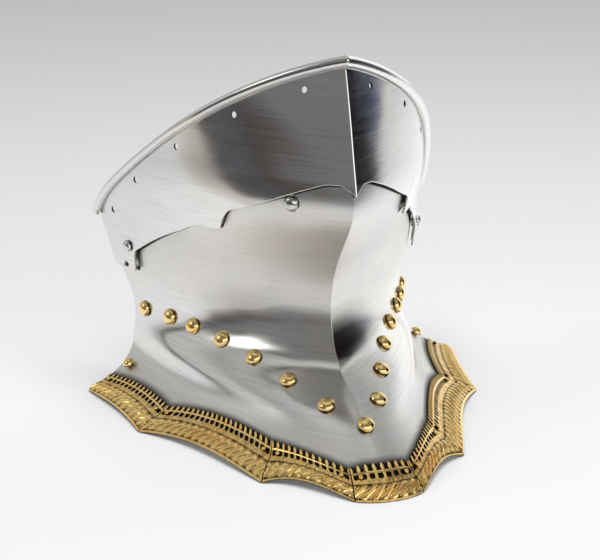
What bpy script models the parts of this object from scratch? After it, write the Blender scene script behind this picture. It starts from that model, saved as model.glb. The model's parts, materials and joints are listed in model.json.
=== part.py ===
"""Bevor: the chin-and-neck defence of a knight's helmet.

A gorget plate with a sharp keel, a narrow neck and a wide scalloped flare stands on the tips of its scallops.
A falling plate with a rolled rim turns on two rivets at its rear corners, and a spring catch holds it up.
Domed brass rivets hold the lining band inside, and pinned brass segments border the scallops.

The plates share one surface. A place on it is (u, z): z is the height, and u runs along the level outline at
that height, from 0 at the keel to 1 at the wearer's left rear edge and -1 at the right. Lift is the distance
outward from the gorget's outer face. Lengths are millimetres until they become mesh points. +Z is up, the
keel faces -Y, and the origin is on the ground in the middle of the outer box.
"""

import functools
import math

import bmesh
import bpy
import numpy as np
from mathutils import Matrix, Vector

MM = 0.001
CREASE = math.radians(35)
PIVOT_Y = 95.9
PIVOT_Z = 98.3

PLATE = 1.4
TOUCH = 0.3
STAND_OFF = 2.4
SIDE_LENGTH = 270.0  # of one side's lower edge, to turn a length along it into a step of u

# The shared surface, each line as (height, value). Depths run forward from the pivots, and widths out from
# the middle.
KEEL_DEPTH = (
    (0, 221), (12, 206), (24, 184), (34, 163), (44, 137.5), (56, 122.5), (75, 114),
    (100, 118), (130, 139.5), (150, 152.5), (170, 150), (205, 140), (240, 128.5),
)
HALF_WIDTH = (
    (0, 130.4), (5, 119), (12, 107.5), (24, 97), (34, 95), (44, 94), (56, 94.5), (75, 100),
    (100, 106), (130, 111.5), (170, 110.5), (205, 115), (240, 118),
)
REAR_EDGE = (
    (0, 0), (5, 4), (12, 8), (24, 15), (40, 15.5), (56, 15), (75, 17), (98, 22),
    (118, 31), (135, 34), (170, 34), (240, 34),
)
KEEL_ANGLE = ((0, -6), (14, 8), (27, 12), (38, 27), (56, 37), (100, 39.5), (150, 39), (240, 41))
KEEL_REACH = ((0, 0.19), (14, 0.2), (27, 0.2), (40, 0.3), (56, 0.33), (100, 0.33), (240, 0.33))
SIDE_ANGLE = ((0, 0), (12, 13), (24, 10), (34, 8), (44, 12), (56, 16), (100, 17), (150, 15), (240, 14))
SIDE_REACH = 0.34

# Scallops: the place of each tip of the lower edge, how far that edge rises between the tip and the one
# before, the height of the border's upper edge above each tip, and how far that edge rises between them.
TIPS = (0.078, 0.297, 0.70, 1.0)
RISES = (0.0, 4.4, 3.6, 1.8)
BORDER_TOP = (12.2, 14.7, 9.4, 7.8)
TOP_RISES = (2.6, 1.4, 3.4, 2.2)
BORDER_LIFT = 0.4
BORDER_THICK = 1.2
SEAM = 0.4

# Edges of the plates, as heights along u.
GORGET_TOP = (184.0, -72.0)
FLARE_ROWS = (20, 25, 30, 35, 40, 46, 52, 60, 72)
THROAT_ROWS = 6
PLATE_STEP = 0.034
RIM_LINE = (230.5, -47.0, -70.0)
RIM_RADIUS = 3.0
FALL_EDGE = (
    (0.0, 159.5), (0.012, 163.5), (0.03, 165.2), (0.06, 165), (0.12, 161.5), (0.18, 157), (0.27, 149.5),
    (0.32, 145.5), (0.353, 143.2), (0.373, 141.2), (0.384, 138.4), (0.3935, 134.2), (0.398, 130.5),
    (0.402, 127.6), (0.41, 126.9), (0.44, 127), (0.47, 127.5), (0.565, 119.8), (0.667, 111), (0.8, 99),
    (0.835, 95.6), (0.852, 90), (0.868, 82), (0.885, 81.5), (0.9, 85.5), (0.915, 87), (0.935, 84),
    (0.96, 81), (1.0, 83),
)

LACE_HOLES = ((0.115, 7.5), (0.343, 7.5), (0.568, 7.5), (0.758, 9), (0.896, 12))
LACE_HOLE_RADIUS = 2.0

# The lining rivets stand in a V: its height at u = RIVET_V_REACH, its drop at the keel, and that reach.
RIVET_V_TOP, RIVET_V_DROP, RIVET_V_REACH = 54.5, 26.5, 0.75
RIVET_PLACES = (0.09, 0.20, 0.33, 0.475, 0.62, 0.75, 0.915)
RIVET_RADIUS = 5.3
RIVET_HEIGHT = 3.4
HEAD_GAP = 1.0
SHANK = 1.5
BURR_RADIUS = 3.0
BURR_THICK = 1.0
KEEL_RIVET_RISE = 0.5
KEEL_RIVET_SINK = 1.2
LINING_THICK = 2.0
BAND_GAP = 0.9
BAND_END = 0.975
BAND_HALF_AT_KEEL, BAND_HALF, BAND_WIDENS_OVER = 4.5, 8.0, 0.4

PIN_RADIUS = 1.5
PIN_HEIGHT = 0.9
PIN_SHANK = 0.6
PIN_INSET = 6.0
PIN_LEVELS = (0.28, 0.68)  # shares of the border's breadth

STUD = (-0.18, 151.3)
STUD_RADIUS = 4.7
STUD_HEIGHT = 3.6
STUD_SKIRT = 0.6
STUD_GAP = 0.6
SPRING_ROOT = (-0.40, 146.0)
SPRING_HALF_AT_ROOT, SPRING_HALF_AT_STUD = 7.0, 5.0
SPRING_THICK = 1.0
SPRING_REST = 0.6
SPRING_TAIL, SPRING_TIP = 0.016, 0.03  # steps of u beyond the root and beyond the stud
SPRING_SINK = 2.6
SPRING_FLAT = 0.15  # the share of its length that lies flat before it starts to sink
SPRING_SLOPE = 1.6
ROOT_SPREAD = 4.0
ROOT_SHANK = 1.0
ROOT_HEAD_RADIUS = 2.2
ROOT_HEAD_HEIGHT = 0.8
ROOT_BURR_RADIUS = 2.4
ROOT_BURR_GAP = 1.0

PIVOT_RADIUS = 3.9
PIVOT_HEIGHT = 2.4
PIVOT_GAP = 0.8
WASHER_RADIUS = 4.2
WASHER_TOP = 1.5
STRAP_STUD = (0.96, 15)
STRAP_STUD_RADIUS = 3.9
STRAP_STUD_NECK = 2.2


def smooth(points):
    """A natural cubic spline through (height, value) pairs, as a function of height."""
    x, y = np.array(points, float).T
    step = np.diff(x)
    grid = np.eye(len(x))
    bend = np.zeros(len(x))
    for i in range(1, len(x) - 1):
        grid[i, i - 1 : i + 2] = step[i - 1], 2 * (step[i - 1] + step[i]), step[i]
        bend[i] = 6 * ((y[i + 1] - y[i]) / step[i] - (y[i] - y[i - 1]) / step[i - 1])
    curve = np.linalg.solve(grid, bend)

    def value(height):
        i = int(np.clip(np.searchsorted(x, height) - 1, 0, len(x) - 2))
        a, b = x[i + 1] - height, height - x[i]
        cubic = (curve[i] * a**3 + curve[i + 1] * b**3) / (6 * step[i])
        line = (y[i] / step[i] - curve[i] * step[i] / 6) * a
        return cubic + line + (y[i + 1] / step[i] - curve[i + 1] * step[i] / 6) * b

    return value


keel_depth, half_width, rear_edge = smooth(KEEL_DEPTH), smooth(HALF_WIDTH), smooth(REAR_EDGE)
keel_angle, keel_reach, side_angle = smooth(KEEL_ANGLE), smooth(KEEL_REACH), smooth(SIDE_ANGLE)


@functools.lru_cache(maxsize=None)
def outline(z):
    """The level outline at height z, keel to rear edge: shares of its length, and the x and y at each."""
    front = np.array([0.0, -keel_depth(z)])
    rear = np.array([half_width(z), rear_edge(z)])
    span = np.hypot(*(rear - front))
    nose, side = math.radians(keel_angle(z)), math.radians(side_angle(z))
    leave = front + keel_reach(z) * span * np.array([math.cos(nose), math.sin(nose)])
    arrive = rear - SIDE_REACH * span * np.array([math.sin(side), math.cos(side)])
    t = np.linspace(0, 1, 121)[:, None]
    points = (1 - t) ** 3 * front + 3 * (1 - t) ** 2 * t * leave + 3 * (1 - t) * t**2 * arrive + t**3 * rear
    length = np.concatenate([[0], np.cumsum(np.hypot(*np.diff(points, axis=0).T))])
    return length / length[-1], points[:, 0], points[:, 1]


def bare(u, z):
    """The gorget's outer face at place (u, z), for u of 0 or more."""
    share, x, y = outline(round(float(z), 3))
    return Vector((np.interp(u, share, x), np.interp(u, share, y), z))


def normal(u, z):
    """The outward normal at place (u, z). On the keel it is the mitre of the two sides, and longer than 1."""
    a = min(max(abs(u), 0.004), 0.996)
    along = bare(a + 0.004, z) - bare(a - 0.004, z)
    up = bare(a, z + 0.4) - bare(a, z - 0.4)
    n = along.cross(up).normalized()
    if u == 0:
        n = Vector((0, n.y, n.z)) / (n.y**2 + n.z**2)
    return Vector((math.copysign(n.x, u) if u else 0, n.y, n.z))


def skin(u, z, lift=0.0):
    """The point at place (u, z) and lift, still in millimetres from the pivots' line and the ground."""
    point = bare(abs(u), z)
    point.x = math.copysign(point.x, u)
    return point + normal(u, z) * lift


def world(point):
    return (point + Vector((0, PIVOT_Y, 0))) * MM


def facing(u, z, lift=0.0):
    """A matrix at place (u, z) and lift, with its local Z along the outward normal."""
    turn = normal(u or 1e-6, z).to_track_quat("Z", "Y").to_matrix().to_4x4()
    return Matrix.Translation(world(skin(u, z, lift))) @ turn


def arch(u, rises):
    """How far an edge with these rises stands above the line through its tips."""
    u = min(abs(u), 1.0)
    start = -TIPS[0]
    for tip, rise in zip(TIPS, rises):
        if u <= tip:
            share = 2 * (u - start) / (tip - start) - 1
            return rise * (1 - share**2)
        start = tip
    return 0.0


def scallop(u):
    """The height of the lower edge."""
    return arch(u, RISES)


def border_top(u):
    """The height of the border's upper edge."""
    return float(np.interp(abs(u), TIPS, BORDER_TOP)) + arch(u, TOP_RISES)


def border_heights(u):
    """The heights of the border's rows, which the gorget shares so that their facets stay parallel."""
    low, high = scallop(u), border_top(u)
    return [low, (low + high) / 2, high]


def gorget_top(u):
    return GORGET_TOP[0] + GORGET_TOP[1] * abs(u)


def rim_line(u):
    return RIM_LINE[0] + RIM_LINE[1] * abs(u) + RIM_LINE[2] * u**2


def fall_edge(u):
    return float(np.interp(abs(u), *np.array(FALL_EDGE).T))


def rivet_line(u):
    """The height of the lining rivets: a V that flattens towards the sides."""
    return RIVET_V_TOP - RIVET_V_DROP * (1 - abs(u) / RIVET_V_REACH) ** 2


def material(name, color, roughness, metallic):
    made = bpy.data.materials.new(name)
    made.use_nodes = True
    shader = made.node_tree.nodes["Principled BSDF"]
    shader.inputs["Base Color"].default_value = (*color, 1)
    shader.inputs["Roughness"].default_value = roughness
    shader.inputs["Metallic"].default_value = metallic
    made.diffuse_color = (*color, 1)
    return made


def add_object(name, mesh, finish, parent=None):
    mesh.shade_smooth()
    mesh.set_sharp_from_angle(angle=CREASE)
    mesh.materials.clear()
    mesh.materials.append(finish)
    made = bpy.data.objects.new(name, mesh)
    bpy.context.scene.collection.objects.link(made)
    if parent:
        made.parent = parent
        made.matrix_parent_inverse = parent.matrix_world.inverted()
    return made


def add_joint(name, place, axis):
    """An empty on a joint's axis, with its local X along it."""
    made = bpy.data.objects.new(name, None)
    made.matrix_world = Matrix.Translation(place) @ axis.to_track_quat("X", "Z").to_matrix().to_4x4()
    bpy.context.scene.collection.objects.link(made)
    bpy.context.view_layer.update()
    return made


def mesh_from(name, bm):
    bmesh.ops.recalc_face_normals(bm, faces=bm.faces)
    mesh = bpy.data.meshes.new(name)
    bm.to_mesh(mesh)
    bm.free()
    return mesh


def sheet_mesh(name, columns, loop_at, rows):
    """A closed sheet. loop_at(u) is its closed loop of (z, lift): up outside, round any roll, down inside."""
    bm = bmesh.new()
    loops = [[bm.verts.new(world(skin(u, z, lift))) for z, lift in loop_at(u)] for u in columns]
    count = len(loops[0])
    for left, right in zip(loops, loops[1:]):
        for i in range(count):
            j = (i + 1) % count
            bm.faces.new((left[i], right[i], right[j], left[j]))
    for end in (loops[0], loops[-1]):
        for i in range(rows - 1):
            bm.faces.new((end[i], end[i + 1], end[count - 2 - i], end[count - 1 - i]))
        if count > 2 * rows:
            bm.faces.new(end[rows - 1 : count - rows + 1])
    return mesh_from(name, bm)


def turned_mesh(name, profile, segments):
    """A solid of revolution about local Z from (radius, height) pairs; the first and last lie on the axis."""
    bm = bmesh.new()
    points = [bm.verts.new((radius * MM, 0, height * MM)) for radius, height in profile]
    edges = [bm.edges.new(pair) for pair in zip(points, points[1:])]
    bmesh.ops.spin(
        bm, geom=points + edges, cent=(0, 0, 0), axis=(0, 0, 1), angle=2 * math.pi, steps=segments,
        use_merge=True,
    )
    bmesh.ops.remove_doubles(bm, verts=bm.verts, dist=1e-6)
    return mesh_from(name, bm)


def domed(radius, height, floor=0.0, rings=3):
    """The profile of a dome from its crown to its rim, standing on floor."""
    steps = [math.radians(90 * i / rings) for i in range(rings + 1)]
    return [(radius * math.sin(a), floor + height * math.cos(a)) for a in steps]


def cylinder_cutter(name, holes, sides=8):
    """One hidden cutter for many round holes, each as (matrix, radius, half length)."""
    bm = bmesh.new()
    for where, radius, reach in holes:
        bmesh.ops.create_cone(
            bm, cap_ends=True, segments=sides, radius1=radius * MM, radius2=radius * MM,
            depth=2 * reach * MM, matrix=where,
        )
    made = bpy.data.objects.new(name, mesh_from(name, bm))
    bpy.context.scene.collection.objects.link(made)
    made.hide_render = True
    made.display_type = "WIRE"
    return made


def cut(target, cutter):
    modifier = target.modifiers.new("holes", "BOOLEAN")
    modifier.operation = "DIFFERENCE"
    modifier.solver = "EXACT"
    modifier.object = cutter


def steps_between(stops, step, least=1):
    """Values through all the stops, with even steps of about this size, and at least so many, between."""
    values = [stops[0]]
    for low, high in zip(stops, stops[1:]):
        count = max(least, round((high - low) / step))
        values += [low + (high - low) * i / count for i in range(1, count + 1)]
    return values


def mirrored(values):
    return [-value for value in reversed(values) if value] + list(values)


def plate_columns():
    return mirrored(steps_between((0,) + TIPS, PLATE_STEP, 3))


def pin_places():
    """Each border pin as (segment name, u, z): two at each end of a long segment, and one of a short one."""
    stops = [-tip for tip in reversed(TIPS)] + list(TIPS)
    names = ["side_right", "quarter_right", "fore_right", "front", "fore_left", "quarter_left", "side_left"]
    places = []
    for name, low, high in zip(names, stops, stops[1:]):
        levels = PIN_LEVELS if name.startswith(("quarter", "fore")) else PIN_LEVELS[1:]
        for end, sign in ((low, 1), (high, -1)):
            for level in levels:
                u = end + sign * PIN_INSET / SIDE_LENGTH
                places.append((name, u, scallop(u) + level * (border_top(u) - scallop(u))))
    return places


def make_gorget(steel):
    """The main plate, level along its lower edge, so that the tips of its scallops are small flat feet."""
    def loop(u):
        low = scallop(u)
        throat = FLARE_ROWS[-1]
        above = [throat + (gorget_top(u) - throat) * i / THROAT_ROWS for i in range(1, THROAT_ROWS + 1)]
        heights = border_heights(u) + list(FLARE_ROWS) + above
        inner = list(heights)
        for _ in range(5):
            inner[0] += low - skin(u, inner[0], -PLATE).z
        return [(z, 0.0) for z in heights] + [(z, -PLATE) for z in reversed(inner)]

    rows = 3 + len(FLARE_ROWS) + THROAT_ROWS
    made = add_object("gorget_plate", sheet_mesh("gorget_plate", plate_columns(), loop, rows), steel)
    holes = [(facing(u, rivet_line(u)), SHANK + TOUCH, 9) for u in mirrored((0,) + RIVET_PLACES)]
    holes += [(facing(u, z), PIN_SHANK + TOUCH, 3) for _, u, z in pin_places()]
    holes += [(facing(*pivot_place(side)), SHANK + TOUCH, 6) for side in (-1, 1)]
    holes += [(facing(side * STRAP_STUD[0], STRAP_STUD[1]), SHANK + TOUCH, 6) for side in (-1, 1)]
    holes += [(where, ROOT_SHANK + TOUCH, 6) for where in root_rivets()]
    cut(made, cylinder_cutter("gorget_cutter", holes))
    cut(made, cylinder_cutter("stud_cutter", [(facing(*STUD), STUD_RADIUS + STUD_GAP, 6)], 16))
    return made


def make_falling_plate(steel, joint):
    rows = 5
    inside, outside = STAND_OFF, STAND_OFF + PLATE
    start = math.acos((outside - inside - RIM_RADIUS) / RIM_RADIUS)
    turns = 7

    def loop(u):
        low, high = fall_edge(u), rim_line(u)
        heights = [low + (high - low) * i / (rows - 1) for i in range(rows)]
        middle = high + RIM_RADIUS * math.sin(start)
        roll = []
        for i in range(1, turns + 1):
            angle = -start + (start + math.pi) * i / turns
            roll.append((middle + RIM_RADIUS * math.sin(angle), inside + RIM_RADIUS * (1 + math.cos(angle))))
        return [(z, outside) for z in heights] + roll + [(z, inside) for z in reversed(heights)]

    columns = mirrored(steps_between([u for u, _ in FALL_EDGE], 0.05))
    mesh = sheet_mesh("falling_plate", columns, loop, rows)
    made = add_object("falling_plate", mesh, steel, joint)
    holes = []
    for side in (-1, 1):
        for u, drop in LACE_HOLES:
            holes.append((facing(side * u, rim_line(u) - drop, outside), LACE_HOLE_RADIUS, 4))
        holes.append((facing(*pivot_place(side), outside), SHANK + 2 * TOUCH, 3))
    cut(made, cylinder_cutter("falling_cutter", holes, 10))
    return made


@functools.lru_cache(maxsize=None)
def pivot_place(side):
    """The place on the surface that the pivots' line passes through."""
    shares = np.linspace(0.6, 1, 801)
    nearest = min(shares, key=lambda u: abs(bare(u, PIVOT_Z).y))
    return side * float(nearest), PIVOT_Z


def root_rivets():
    """Where the two rivets of the catch spring go: one above the other at its root."""
    u, z = SPRING_ROOT
    return [facing(u, z + side * ROOT_SPREAD) for side in (-1, 1)]


def make_border(brass):
    stops = [-tip for tip in reversed(TIPS)] + list(TIPS)
    inside, outside = BORDER_LIFT, BORDER_LIFT + BORDER_THICK

    def loop(u):
        heights = border_heights(u)
        return [(z, outside) for z in heights] + [(z, inside) for z in reversed(heights)]

    names = dict.fromkeys(name for name, _, _ in pin_places())
    for name, low, high in zip(names, stops, stops[1:]):
        gap = SEAM / SIDE_LENGTH
        columns = [low + gap] + [u for u in plate_columns() if low + gap < u < high - gap] + [high - gap]
        made = add_object(f"border_{name}", sheet_mesh(f"border_{name}", columns, loop, 3), brass)
        holes = [(facing(u, z), PIN_SHANK + TOUCH, 4) for owner, u, z in pin_places() if owner == name]
        cut(made, cylinder_cutter(f"border_{name}_cutter", holes, 8))


def make_pins(brass):
    top = BORDER_LIFT + BORDER_THICK + TOUCH
    profile = domed(PIN_RADIUS, PIN_HEIGHT, top, 2) + [(PIN_SHANK, top), (PIN_SHANK, -PLATE), (0, -PLATE)]
    mesh = turned_mesh("border_pin", profile, 8)
    for number, (_, u, z) in enumerate(pin_places(), 1):
        add_object(f"border_pin_{number:02d}", mesh, brass).matrix_world = facing(u, z)


def make_lining(brass, leather):
    """The band that the lining is sewn to, and the domed rivets that hold it."""
    outside = -PLATE - BAND_GAP
    inside = outside - LINING_THICK

    def loop(u):
        half = BAND_HALF_AT_KEEL + (BAND_HALF - BAND_HALF_AT_KEEL) * min(1, abs(u) / BAND_WIDENS_OVER)
        heights = [rivet_line(u) + half * share for share in (-1, -0.33, 0.33, 1)]
        return [(z, outside) for z in heights] + [(z, inside) for z in reversed(heights)]

    columns = [-BAND_END] + [u for u in plate_columns() if abs(u) < BAND_END] + [BAND_END]
    band = add_object("lining_band", sheet_mesh("lining_band", columns, loop, 4), leather)
    places = mirrored((0,) + RIVET_PLACES)
    holes = [(facing(u, rivet_line(u)), SHANK + TOUCH, 9) for u in places]
    cut(band, cylinder_cutter("lining_cutter", holes))

    foot = inside - TOUCH
    profile = domed(RIVET_RADIUS, RIVET_HEIGHT, HEAD_GAP) + [(SHANK, HEAD_GAP)]
    profile += [(SHANK, foot), (BURR_RADIUS, foot), (BURR_RADIUS, foot - BURR_THICK), (0, foot - BURR_THICK)]
    mesh = turned_mesh("lining_rivet", profile, 10)
    longer = [(r, h + KEEL_RIVET_RISE if h > 0 else h - KEEL_RIVET_SINK) for r, h in profile]
    keel_mesh = turned_mesh("keel_rivet", longer, 10)
    for number, u in enumerate(places, 1):
        made = add_object(f"lining_rivet_{number:02d}", mesh if u else keel_mesh, brass)
        made.matrix_world = facing(u, rivet_line(u))


def make_pivots(steel):
    """The rivets that the falling plate turns on, and the washers that hold it clear of the gorget."""
    under = STAND_OFF + PLATE + PIVOT_GAP
    foot = -PLATE - TOUCH
    profile = domed(PIVOT_RADIUS, PIVOT_HEIGHT, under) + [(SHANK, under), (SHANK, foot), (BURR_RADIUS, foot)]
    profile += [(BURR_RADIUS, foot - BURR_THICK), (0, foot - BURR_THICK)]
    rivet = turned_mesh("pivot_rivet", profile, 12)
    hole = SHANK + TOUCH
    ring = [(hole, TOUCH), (WASHER_RADIUS, TOUCH), (WASHER_RADIUS, WASHER_TOP), (hole, WASHER_TOP)]
    ring.append(ring[0])
    washer = turned_mesh("pivot_washer", ring, 12)
    for word, side in (("right", -1), ("left", 1)):
        add_object(f"pivot_rivet_{word}", rivet, steel).matrix_world = facing(*pivot_place(side))
        add_object(f"pivot_washer_{word}", washer, steel).matrix_world = facing(*pivot_place(side))


def make_strap_studs(brass):
    """The headed rivets at the rear corners, where a neck strap buttons on."""
    foot, under = -PLATE - HEAD_GAP, 2 * HEAD_GAP
    profile = domed(STRAP_STUD_RADIUS, RIVET_HEIGHT, under)
    profile += [(STRAP_STUD_NECK, under), (STRAP_STUD_NECK, HEAD_GAP), (SHANK, HEAD_GAP), (SHANK, foot)]
    profile += [(BURR_RADIUS, foot), (BURR_RADIUS, foot - BURR_THICK), (0, foot - BURR_THICK)]
    mesh = turned_mesh("strap_stud", profile, 10)
    for word, side in (("right", -1), ("left", 1)):
        made = add_object(f"strap_stud_{word}", mesh, brass)
        made.matrix_world = facing(side * STRAP_STUD[0], STRAP_STUD[1])


def make_catch(steel, spring_steel, joint):
    """The stud that holds the falling plate up, the leaf spring that carries it, and its two rivets."""
    (u_stud, z_stud), (u_root, z_root) = STUD, SPRING_ROOT
    rows = 2

    def loop(u):
        share = (u - u_root) / (u_stud - u_root)
        middle = z_root + (z_stud - z_root) * share
        half = SPRING_HALF_AT_ROOT + (SPRING_HALF_AT_STUD - SPRING_HALF_AT_ROOT) * min(max(share, 0), 1)
        sunk = min(max(SPRING_SLOPE * (share - SPRING_FLAT), 0), 1)
        outside = -PLATE - SPRING_REST - (SPRING_SINK - SPRING_REST) * sunk
        low, high = (middle - half, outside), (middle + half, outside)
        return [low, high, (high[0], outside - SPRING_THICK), (low[0], outside - SPRING_THICK)]

    columns = steps_between((u_root - SPRING_TAIL, u_stud + SPRING_TIP), 0.03)
    spring = add_object("catch_spring", sheet_mesh("catch_spring", columns, loop, rows), spring_steel, joint)
    holes = [(where, ROOT_SHANK + 2 * TOUCH, 6) for where in root_rivets()]
    cut(spring, cylinder_cutter("spring_cutter", holes))

    base = -PLATE - SPRING_SINK + TOUCH
    profile = domed(STUD_RADIUS, STUD_HEIGHT - STUD_SKIRT, STUD_SKIRT, 4) + [(STUD_RADIUS, base), (0, base)]
    stud = add_object("catch_stud", turned_mesh("catch_stud", profile, 16), steel, joint)
    stud.matrix_world = facing(*STUD)

    foot = -PLATE - SPRING_REST - SPRING_THICK - ROOT_BURR_GAP
    end = foot - ROOT_HEAD_HEIGHT
    profile = domed(ROOT_HEAD_RADIUS, ROOT_HEAD_HEIGHT, TOUCH, 2) + [(ROOT_SHANK, TOUCH), (ROOT_SHANK, foot)]
    profile += [(ROOT_BURR_RADIUS, foot), (ROOT_BURR_RADIUS, end), (0, end)]
    rivet = turned_mesh("spring_rivet", profile, 10)
    for number, where in enumerate(root_rivets(), 1):
        add_object(f"spring_rivet_{number}", rivet, steel).matrix_world = where


def main():
    for old in list(bpy.data.objects):
        bpy.data.objects.remove(old)
    steel = material("polished_steel", (0.62, 0.62, 0.61), 0.22, 1.0)
    spring_steel = material("spring_steel", (0.32, 0.33, 0.35), 0.35, 1.0)
    border_brass = material("border_brass", (0.78, 0.55, 0.22), 0.35, 1.0)
    rivet_brass = material("rivet_brass", (0.85, 0.62, 0.25), 0.2, 1.0)
    leather = material("lining_leather", (0.2, 0.12, 0.07), 0.7, 0.0)

    fall = add_joint("fall_axis", world(Vector((0, 0, PIVOT_Z))), Vector((1, 0, 0)))
    u, z = SPRING_ROOT
    press_axis = skin(u, z + 4) - skin(u, z - 4)
    press = add_joint("press_axis", world(skin(u, z, -PLATE - 1)), press_axis.normalized())

    make_gorget(steel)
    make_falling_plate(steel, fall)
    make_pivots(steel)
    make_border(border_brass)
    make_pins(border_brass)
    make_lining(rivet_brass, leather)
    make_strap_studs(rivet_brass)
    make_catch(steel, spring_steel, press)


main()
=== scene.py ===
"""The looks of a bevor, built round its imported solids.

The plates, the pressed brass border, the rivets, the catch and the lining band are made here at full
detail, on the same surface as the solids. A place on that surface is (u, z): z is the height in millimetres,
and u runs along the level outline at that height, from 0 at the keel to 1 at the wearer's left rear edge and
-1 at the right. Lift is the distance outward from the gorget's outer face, in millimetres. +Z is up and the
keel faces -Y.
"""

import json
import math

import bpy
import numpy as np
from mathutils import Matrix, Vector


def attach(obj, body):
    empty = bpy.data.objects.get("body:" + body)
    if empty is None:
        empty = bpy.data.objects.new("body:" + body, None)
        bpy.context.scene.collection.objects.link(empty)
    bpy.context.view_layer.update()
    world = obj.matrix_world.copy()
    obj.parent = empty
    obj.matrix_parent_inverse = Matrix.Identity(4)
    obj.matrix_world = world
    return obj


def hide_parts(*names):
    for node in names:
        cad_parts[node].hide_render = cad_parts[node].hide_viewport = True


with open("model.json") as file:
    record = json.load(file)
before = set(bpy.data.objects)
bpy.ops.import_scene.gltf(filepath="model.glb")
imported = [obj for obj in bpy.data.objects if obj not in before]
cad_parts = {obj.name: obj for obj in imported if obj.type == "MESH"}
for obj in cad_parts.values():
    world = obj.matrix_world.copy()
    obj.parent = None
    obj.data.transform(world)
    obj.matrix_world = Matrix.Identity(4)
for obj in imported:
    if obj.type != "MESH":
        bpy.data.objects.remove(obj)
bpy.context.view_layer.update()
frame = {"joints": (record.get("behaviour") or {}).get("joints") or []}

MM = 0.001
HINGE = next(joint for joint in frame["joints"] if joint["name"] == "falling_plate_hinge")
PIVOT_Y, PIVOT_Z = HINGE["pos_m"][1] / MM, HINGE["pos_m"][2] / MM
SIDE_LENGTH = 270.0  # of one side's lower edge, to turn a length along it into a step of u

# The shared surface, each line as (height, value), as the solids have it.
KEEL_DEPTH = (
    (0, 221), (12, 206), (24, 184), (34, 163), (44, 137.5), (56, 122.5), (75, 114),
    (100, 118), (130, 139.5), (150, 152.5), (170, 150), (205, 140), (240, 128.5),
)
HALF_WIDTH = (
    (0, 130.4), (5, 119), (12, 107.5), (24, 97), (34, 95), (44, 94), (56, 94.5), (75, 100),
    (100, 106), (130, 111.5), (170, 110.5), (205, 115), (240, 118),
)
REAR_EDGE = (
    (0, 0), (5, 4), (12, 8), (24, 15), (40, 15.5), (56, 15), (75, 17), (98, 22),
    (118, 31), (135, 34), (170, 34), (240, 34),
)
KEEL_ANGLE = ((0, -6), (14, 8), (27, 12), (38, 27), (56, 37), (100, 39.5), (150, 39), (240, 41))
KEEL_REACH = ((0, 0.19), (14, 0.2), (27, 0.2), (40, 0.3), (56, 0.33), (100, 0.33), (240, 0.33))
SIDE_ANGLE = ((0, 0), (12, 13), (24, 10), (34, 8), (44, 12), (56, 16), (100, 17), (150, 15), (240, 14))
SIDE_REACH = 0.34

PLATE = 1.4
STAND_OFF = 2.4
EDGE_ROUND = 0.4
ROUND_MIDDLE = 0.3  # the share of the rounding that its middle point is set back

# Scallops: the place of each tip of the lower edge, how far that edge rises between the tip and the one
# before, the height of the border's upper edge above each tip, and how far that edge rises between them.
TIPS = (0.078, 0.297, 0.70, 1.0)
RISES = (0.0, 4.4, 3.6, 1.8)
BORDER_TOP = (12.2, 14.7, 9.4, 7.8)
TOP_RISES = (2.6, 1.4, 3.4, 2.2)

# Edges of the plates, as heights along u.
GORGET_TOP = (184.0, -72.0)
RIM_LINE = (230.5, -47.0, -70.0)
RIM_RADIUS = 3.0
FALL_EDGE = (
    (0.0, 159.5), (0.012, 163.5), (0.03, 165.2), (0.06, 165), (0.12, 161.5), (0.18, 157), (0.27, 149.5),
    (0.32, 145.5), (0.353, 143.2), (0.373, 141.2), (0.384, 138.4), (0.3935, 134.2), (0.398, 130.5),
    (0.402, 127.6), (0.41, 126.9), (0.44, 127), (0.47, 127.5), (0.565, 119.8), (0.667, 111), (0.8, 99),
    (0.835, 95.6), (0.852, 90), (0.868, 82), (0.885, 81.5), (0.9, 85.5), (0.915, 87), (0.935, 84),
    (0.96, 81), (1.0, 83),
)
LACE_HOLES = ((0.115, 7.5), (0.343, 7.5), (0.568, 7.5), (0.758, 9), (0.896, 12))
LACE_HOLE_RADIUS = 2.0
STUD = (-0.18, 151.3)
STUD_RADIUS = 4.7
STUD_HEIGHT = 3.6
STUD_GAP = 0.6
SHANK = 1.5
GORGET_PIVOT_GAP, FALLING_PIVOT_GAP = 0.4, 0.6  # round the shank of each pivot rivet
CUT_REACH, STUD_CUT_REACH = 3, 4  # half the length of a hole's cutter

# The lining rivets stand in a V: its height at u = RIVET_V_REACH, its drop at the keel, and that reach.
RIVET_V_TOP, RIVET_V_DROP, RIVET_V_REACH = 54.5, 26.5, 0.75

KEEL_COLUMNS = (0, 0.2, 0.4, 0.6, 0.95, 1.4, 2.0, 2.8, 4.0, 5.5)  # millimetres from the fold
FALLING_KEEL_COLUMNS = KEEL_COLUMNS[:7]
COLUMN_STEP, FALLING_STEP = 0.0075, 0.005
FLARE_ROWS, NECK_ROWS, FLARE_CROWDING = 52, 30, 1.15
FALLING_ROWS = 34
FALLING_DENT_SHIFT = 0.3  # of u, so that its dents aren't the gorget's
RIM_START = 0.5  # how far below the rim line the plain face ends
RIM_TURNS = 18
RIM_CLOSES = 0.86  # the share of its way back to the plate that the rolled sheet's edge comes
RIM_GROOVE = (0.9, -0.35, 0.25)  # the seam under the roll: how far above the rim line, and its two lifts

DENT_DEPTH = 0.11
DENT_START = 8.0  # millimetres above the border over which the dents come in
GRIME_AND_SHADE_FADE = 2.5  # millimetres above the border's teeth over which the dirt and the painted shade under the border thin out
OVERLAP_SHADOW = 1.35  # how far below the falling plate's edge the painted shadow line along it starts
DULL = (  # the polish lost to handling, as (height, roughness added)
    (0, 0.30), (18, 0.26), (28, 0.10), (34, 0.02), (58, 0.0), (78, 0.2), (110, 0.3), (140, 0.24), (184, 0.1),
)


# --- The surface ---


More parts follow.
